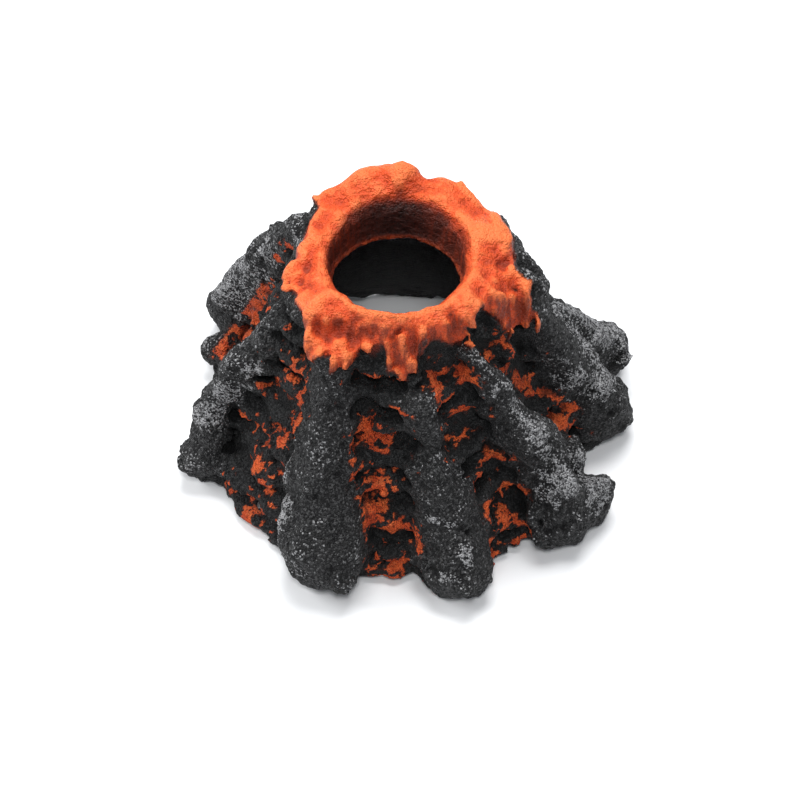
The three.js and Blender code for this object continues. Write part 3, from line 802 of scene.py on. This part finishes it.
class PaintedResin(Nodes):
    """The casting's material: charcoal rock with silvering and orange put on with a brush, and orange lava,
    with painted shade and painted highlights.
    """

    def __init__(self):
        super().__init__("painted_resin")
        self.grain = self.noise(0.8, detail=3, rough=0.7)
        self.web = self.noise(1.6, detail=3, rough=0.7)
        self.blotch = self.noise(7, detail=4, rough=0.6)
        self.fold = self.noise(3, detail=4, rough=0.62)
        self.gap, shade = self.cells(0.56)
        self.shade = self.total((shade, 0.7), (self.grain, 0.45))
        self.crest = self.layer("crest")
        self.valley = self.layer("valley")

    def bare_rock(self):
        rock = self.mix(self.ramp(self.blotch, 0.35, 0.7), *ROCK)
        rock = self.mix(self.ramp(self.shade, 0.48, 0.95), rock, ROCK_GRAIN)
        # Painted shade: the rock darkens in its hollows, where the crest layer is below 0.
        rock = self.mix(self.ramp(self.crest, -0.05, -0.7), rock, ROCK_CREVICE_SHADE)
        # Painted shade: the rock darkens down in the valleys.
        return self.mix(self.times(self.valley, 0.55), rock, ROCK_VALLEY_SHADE)

    def with_silver_and_highlight(self, rock):
        """Silvering on the grains that a brush would catch, partly a painted highlight where light falls:
        crests, what faces up, and the layer of silvering and highlight.
        """
        # Facing up adds silvering on tops, partly as a painted highlight where the light falls.
        silvering_and_light = self.total(
            (self.crest, 0.35), (self.layer("broad"), 0.15), (self.facing_up(), 0.6),
            (self.blotch, 1.4), (self.web, 1.5), (self.layer("silver_and_highlight"), 1.1),
        )
        cover = self.ramp(silvering_and_light, 1.7, 3.7, 0, 0.85)
        share = self.ramp(self.math("ADD", self.shade, cover), 0.90, 1.15)
        share = self.times(share, self.ramp(self.gap, 0.75, 0.45))
        share = self.times(share, self.ramp(self.valley, 0.8, 0.3))
        silver_and_highlight = self.mix(self.ramp(self.web, 0.35, 0.6), *SILVERED_AND_HIGHLIT)
        return self.mix(self.times(share, 0.9), rock, silver_and_highlight)

    def with_orange(self, rock):
        """Torn dabs of orange where the patch layer lies, with a stain round them and a painted highlight
        where they face up.
        """
        patch = self.layer("patch")
        torn = self.total((self.web, 0.9), (self.shade, 0.35))
        dab = self.ramp(self.math("ADD", self.times(patch, 0.8), torn), 1.12, 1.34)
        dab = self.times(dab, self.ramp(self.crest, -0.6, -0.1, 0.25, 1))
        orange = self.mix(self.ramp(self.blotch, 0.35, 0.65), *ORANGE)
        # Painted highlight on the orange where it faces up, varied by noise.
        painted_highlight = self.total((self.facing_up(), 0.35), (self.web, 1))
        orange = self.mix(self.ramp(painted_highlight, 0.72, 1.0, 0, 0.6), orange, ORANGE_HIGHLIGHT)
        orange = self.mix(self.ramp(self.grain, 0.50, 0.32, 0, 0.7), orange, ORANGE_WORN)
        stain = self.times(self.ramp(patch, 0.05, 0.6), self.ramp(self.web, 0.4, 0.6))
        return self.mix(dab, self.mix(stain, rock, ORANGE_STAIN), orange)

    def lava(self):
        steep = self.ramp(self.facing_up(), 0.65, 0.2)
        run = self.noise(1.7, detail=3, rough=0.6, stretch=(1, 1, 0.14))
        # Painted shade: the lava darkens in its hollows, where the crest layer is below 0.
        lava = self.mix(self.ramp(self.crest, -0.8, 0.1), *LAVA_AND_HOLLOW_SHADE)
        # Painted shade in the lava's folds, which the bump sinks too.
        lava = self.mix(self.ramp(self.fold, 0.42, 0.7, 0, 0.8), lava, LAVA_FOLD_SHADE)
        # Painted highlight on the lava's crests and on what faces up.
        painted_highlight = self.total((self.crest, 0.8), (self.facing_up(), 0.25), (self.web, 1.2))
        lava = self.mix(self.ramp(painted_highlight, 0.75, 1.5, 0, 0.85), lava, LAVA_HIGHLIGHT)
        # Painted shade: dark streaks down the steep flank.
        lava = self.mix(self.times(steep, self.ramp(run, 0.60, 0.42, 0, 0.85)), lava, LAVA_RUN_SHADE)
        # Painted shade: the steep flank darker all over.
        lava = self.mix(self.times(steep, 0.25), lava, LAVA_STEEP_SHADE)
        lava = self.mix(self.ramp(self.grain, 0.35, 0.27, 0, 0.7), lava, LAVA_PIT)
        # Painted shade on the crater's wall under its lip.
        lava = self.mix(self.layer("neck_shade"), lava, self.mix(self.ramp(self.web, 0.35, 0.65), *NECK_SHADE))
        # Painted shade: the hollows under the lava painted near black.
        return self.mix(self.layer("recess_shade"), lava, RECESS_SHADE)

    def finished(self):
        """The material, once its paints are laid over each other and its surface is roughened."""
        lava_at = self.layer("lava")
        paint = self.mix(lava_at, self.with_orange(self.with_silver_and_highlight(self.bare_rock())), self.lava())
        inside = self.mix(self.ramp(self.noise(5, detail=3), 0.3, 0.7), *INSIDE)
        self.surface(self.mix(self.layer("outside"), inside, paint), self.ramp(lava_at, 0, 1, 0.72, 0.50))
        self.shader.inputs["Specular IOR Level"].default_value = 0.30
        pits, _ = self.cells(1.5)
        rough = self.total((self.grain, 0.6), (self.web, 1), (pits, 0.6), (self.gap, -0.7))
        rough = self.times(rough, self.ramp(lava_at, 0, 1, 1, 0.24))
        self.bump(self.math("SUBTRACT", rough, self.times(self.fold, lava_at)), 2.0)
        return self.material


def make_shell():
    shell = sculpted_shell()
    shell.data.materials.append(PaintedResin().finished())
    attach(shell, "shell")
    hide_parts("volcano_shell")


make_shell()

# ------------------------------------------------------------------ air diffuser under the casting

DIFFUSER_TURN = 20  # degrees from +X to the inlet socket
SOCKET_REACH = 26.2
CUPS = {"suction_cup_back": 60, "suction_cup_left": 180, "suction_cup_front": 300}
CUP_CIRCLE = 20.2

# Half outlines of the round pieces, reach from the axis and height, and how much their corners are rounded.
CUP_OUTLINE = (
    (0, 2), (2.6, 1.8), (5.1, 0), (6, 0), (5.6, 0.9), (3.6, 3), (2.6, 4.4), (1.7, 4.4), (1.7, 7), (2.7, 7),
    (2.7, 7.8), (1.6, 8.6), (0, 8.6),
)
CUP_ROUNDING = 0.35
STONE_OUTLINE = ((0, 11.8), (15, 11.8), (15, 15.8), (12.9, 15.8), (12.9, 18.1), (12.4, 18.6), (0, 18.6))
STONE_ROUNDING = 0.5
STONE_STEP = 0.55  # how close together the stone's points lie, to hold its grain
STONE_GRAIN = 0.16
GASKET_OUTLINE = ((13.6, 10.5), (15.1, 10.5), (15.1, 11.5), (13.6, 11.5))
GASKET_ROUNDING = 0.2
SEAL_CIRCLE = 3.1
SEAL_SECTION = 0.6
SEAL_HEIGHT = 12.5
SEAL_SIDES = 24

WELD_DISTANCE = 1e-6  # metres
SHARP_ANGLE = math.radians(30)
FLAT_ANGLE = math.radians(1)
MOULD_EDGE = 0.25  # the rounding of the base's and the ring's edges
ELBOW_EDGE = 0.2

# Colours of the diffuser, as for the casting.
BLACK_PLASTIC = ((0.0095, 0.0102, 0.0110), (0.0150, 0.0158, 0.0168))
GREY_PLASTIC = ((0.034, 0.037, 0.041), (0.048, 0.051, 0.055))
STONE_BEADS = ((0.22, 0.255, 0.285), (0.44, 0.48, 0.52))
STONE_BLOTCH = (0.15, 0.175, 0.20)
# painted shade in the stone's holes
STONE_PORE_SHADE = (0.06, 0.07, 0.08)
BLACK_RUBBER = ((0.012, 0.012, 0.013), (0.030, 0.030, 0.031))
CLEAR_RUBBER = ((0.72, 0.78, 0.78), (0.86, 0.89, 0.88))


def diffuser_spot(reach, bearing):
    """A point of the diffuser's plan, from its reach and bearing about the diffuser's own axis."""
    turn = math.radians(bearing + DIFFUSER_TURN)
    return CRATER[0] + reach * math.cos(turn), CRATER[1] + reach * math.sin(turn)


def rounded(outline, radius, closed=False):
    """The outline with each corner drawn as a small curve."""
    corners = np.array(outline, float)
    last = len(corners) - 1
    points = []
    for i, corner in enumerate(corners):
        if not closed and i in (0, last):
            points.append(corner)
            continue
        before = corners[i - 1] - corner
        after = corners[(i + 1) % len(corners)] - corner
        near = [arm * min(0.5, radius / np.linalg.norm(arm)) for arm in (before, after)]
        for t in (0, 0.25, 0.5, 0.75, 1):
            points.append(corner + near[0] * (1 - t) ** 2 + near[1] * t**2)
    return np.array(points)


def spaced(outline, step):
    """The outline with points added so that none is further than a step from the next."""
    points = [outline[0]]
    for start, end in zip(outline[:-1], outline[1:]):
        count = max(1, math.ceil(np.linalg.norm(end - start) / step))
        points += [start + (end - start) * (i + 1) / count for i in range(count)]
    return np.array(points)


def spun(name, outline, centre, segments=96, closed=False):
    """A round piece: the outline turned about an upright axis at the centre."""
    count = len(outline)
    turns = np.arange(segments) * 2 * math.pi / segments
    x = centre[0] + np.outer(np.cos(turns), outline[:, 0])
    y = centre[1] + np.outer(np.sin(turns), outline[:, 0])
    z = np.tile(outline[:, 1], (segments, 1))
    points = np.stack([x, y, z], axis=2).reshape(-1, 3)
    faces = []
    for i in range(segments):
        here, there = i * count, (i + 1) % segments * count
        for j in range(count if closed else count - 1):
            k = (j + 1) % count
            faces.append((here + j, there + j, there + k, here + k))
    piece = new_piece(name, points, faces)
    weld(piece)
    shade_smooth(piece)
    return piece


def weld(piece, flatten=False):
    """Welds the piece's doubled points and turns its faces outwards; flatten merges flat faces too."""
    shape = bmesh.new()
    shape.from_mesh(piece.data)
    bmesh.ops.remove_doubles(shape, verts=shape.verts, dist=WELD_DISTANCE)
    bmesh.ops.dissolve_degenerate(shape, edges=shape.edges, dist=WELD_DISTANCE)
    bmesh.ops.recalc_face_normals(shape, faces=shape.faces)
    if flatten:
        bmesh.ops.dissolve_limit(shape, angle_limit=FLAT_ANGLE, verts=shape.verts, edges=shape.edges)
    shape.to_mesh(piece.data)
    shape.free()


def moulded(node, edge):
    """A copy of the CAD node with its facets smoothed and its edges rounded by that many millimetres."""
    piece = bpy.data.objects.new(node + "_moulded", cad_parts[node].data.copy())
    bpy.context.scene.collection.objects.link(piece)
    weld(piece, flatten=True)
    shade_smooth(piece)
    piece.data.set_sharp_from_angle(angle=SHARP_ANGLE)
    bevel = piece.modifiers.new("edges", "BEVEL")
    bevel.width = edge * MM
    bevel.segments = 2
    bevel.limit_method = "ANGLE"
    bevel.angle_limit = SHARP_ANGLE
    bevel.harden_normals = True
    return piece


def dress(piece, node, body, material):
    """Gives a piece its material, and lets it stand for its CAD node."""
    piece.data.materials.clear()
    piece.data.materials.append(material)
    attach(piece, body)
    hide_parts(node)


def moulding(name, colours):
    """Injection-moulded plastic with a fine grain and faint flow marks."""
    n = Nodes(name)
    flow = n.noise(9, detail=3, stretch=(1, 1, 0.4))
    grain = n.noise(0.35, detail=2, rough=0.7)
    n.surface(n.mix(n.ramp(flow, 0.3, 0.7), *colours), n.ramp(grain, 0.3, 0.7, 0.38, 0.54))
    n.bump(grain, 0.05)
    return n.material


def porous_mineral():
    """Pale beads fused together, with painted shade in the holes between them."""
    n = Nodes("porous_mineral")
    gap, shade = n.cells(0.55)
    blotch = n.noise(6, detail=3)
    beads = n.mix(n.times(shade, 0.8), *STONE_BEADS)
    beads = n.mix(n.ramp(blotch, 0.55, 0.75, 0, 0.45), beads, STONE_BLOTCH)
    # Painted shade in the holes between the beads.
    pore_shade = n.ramp(gap, 0.42, 0.62)
    n.surface(n.mix(pore_shade, beads, STONE_PORE_SHADE), n.ramp(shade, 0, 1, 0.82, 0.95))
    n.bump(n.ramp(gap, 0.65, 0.1), 0.3)
    return n.material


def black_rubber():
    """Matt rubber with a faint grey bloom."""
    n = Nodes("black_rubber")
    grain = n.noise(0.5, detail=3, rough=0.65)
    bloom = n.ramp(n.noise(5, detail=3), 0.5, 0.75)
    n.surface(n.mix(bloom, *BLACK_RUBBER), n.ramp(grain, 0.3, 0.7, 0.58, 0.75))
    n.bump(grain, 0.05)
    return n.material


def clear_rubber():
    """Soft clear plastic that is a little hazy."""
    n = Nodes("clear_rubber")
    haze = n.noise(2.5, detail=3)
    n.surface(n.mix(n.ramp(haze, 0.3, 0.7), *CLEAR_RUBBER), n.ramp(haze, 0.3, 0.75, 0.16, 0.32))
    n.shader.inputs["Transmission Weight"].default_value = 0.75
    n.shader.inputs["IOR"].default_value = 1.42
    n.bump(n.noise(1.2, detail=2), 0.04)
    return n.material


def air_stone():
    outline = spaced(rounded(STONE_OUTLINE, STONE_ROUNDING), STONE_STEP)
    stone = spun("air_stone", outline, CRATER, segments=150)
    points = vertex_points(stone)
    grain = 0.6 * noise(points, 1.3, 61) + 0.5 * noise(points, 3, 62) - 0.4
    push_out(stone, points, STONE_GRAIN * grain)
    return stone


def gasket():
    outline = rounded(GASKET_OUTLINE, GASKET_ROUNDING, closed=True)
    return spun("flat_gasket", outline, CRATER, closed=True)


def seal():
    turns = np.arange(SEAL_SIDES) * 2 * math.pi / SEAL_SIDES
    reach = SEAL_CIRCLE + SEAL_SECTION * np.cos(turns)
    height = SEAL_HEIGHT + SEAL_SECTION * np.sin(turns)
    outline = np.stack([reach, height], axis=1)
    return spun("round_seal", outline, diffuser_spot(SOCKET_REACH, 0), segments=64, closed=True)


def suction_cup(node):
    outline = rounded(CUP_OUTLINE, CUP_ROUNDING)
    return spun(node + "_soft", outline, diffuser_spot(CUP_CIRCLE, CUPS[node]), segments=72)


def make_diffuser():
    black_plastic = moulding("black_moulding", BLACK_PLASTIC)
    grey_plastic = moulding("grey_moulding", GREY_PLASTIC)
    rubber = black_rubber()
    clear = clear_rubber()
    base = moulded("diffuser_base", MOULD_EDGE)
    ring = moulded("retaining_ring", MOULD_EDGE)
    elbow = moulded("inlet_elbow", ELBOW_EDGE)
    dress(base, "diffuser_base", "diffuser", black_plastic)
    dress(ring, "retaining_ring", "ring", grey_plastic)
    dress(elbow, "inlet_elbow", "inlet", grey_plastic)
    dress(air_stone(), "diffuser_stone", "diffuser", porous_mineral())
    dress(gasket(), "stone_gasket", "diffuser", rubber)
    dress(seal(), "inlet_seal", "inlet", rubber)
    for node in CUPS:
        dress(suction_cup(node), node, "diffuser", clear)


make_diffuser()
